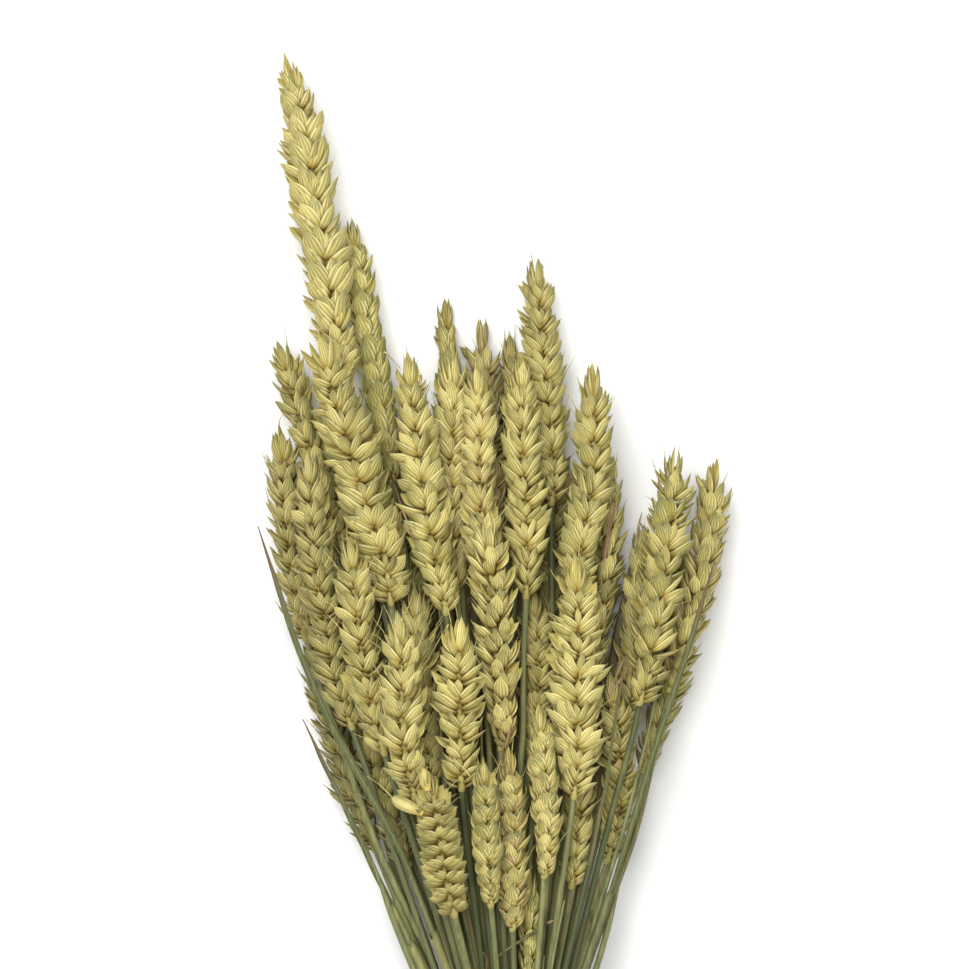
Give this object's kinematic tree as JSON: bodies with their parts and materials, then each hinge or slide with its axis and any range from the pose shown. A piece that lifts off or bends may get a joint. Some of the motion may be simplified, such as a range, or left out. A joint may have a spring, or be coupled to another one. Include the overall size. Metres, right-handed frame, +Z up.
{
  "type": "bundle of dried wheat",
  "caption": "Bundle of dried beardless wheat lying on its side: pale gold ears on grey-green straws that draw together to a waist tied with plain twine.",
  "frame": {"origin": "on the surface that the bundle lies on, under the middle of its bounding box", "axes": "+Y along the stalks towards the ears, +Z up from the surface, +X across the bundle"},
  "size_m": [0.1516, 0.601, 0.069],
  "materials": {
    "husk": "dry, satin, pale gold with greenish tips",
    "leaf": "dry, matt, grey-green to brown",
    "straw": "smooth, satin, grey-green",
    "twine": "matt plant fibre"
  },
  "bodies": {
    "root": {"ear_01": "husk", "ear_02": "husk", "ear_03": "husk", "ear_04": "husk", "ear_05": "husk", "ear_06": "husk", "ear_07": "husk", "ear_08": "husk", "ear_09": "husk", "ear_10": "husk", "ear_11": "husk", "ear_12": "husk", "ear_13": "husk", "ear_14": "husk", "ear_15": "husk", "ear_16": "husk", "ear_17": "husk", "ear_18": "husk", "ear_19": "husk", "ear_20": "husk", "ear_21": "husk", "ear_22": "husk", "ear_23": "husk", "ear_24": "husk", "ear_25": "husk", "ear_26": "husk", "ear_27": "husk", "ear_28": "husk", "ear_29": "husk", "ear_30": "husk", "ear_31": "husk", "ear_32": "husk", "ear_33": "husk", "ear_34": "husk", "ear_35": "husk", "ear_36": "husk", "ear_37": "husk", "ear_38": "husk", "ear_39": "husk", "ear_40": "husk", "ear_41": "husk", "ear_42": "husk", "ear_43": "husk", "ear_44": "husk", "ear_45": "husk", "leaf_left": "leaf", "leaf_lower_left": "leaf", "leaf_right": "leaf", "leaf_split": "leaf", "straws_1": "straw", "straws_2": "straw", "straws_3": "straw", "straws_4": "straw", "straws_5": "straw", "straws_6": "straw", "straws_7": "straw", "straws_8": "straw", "tie": "twine"}
  },
  "joints": []
}
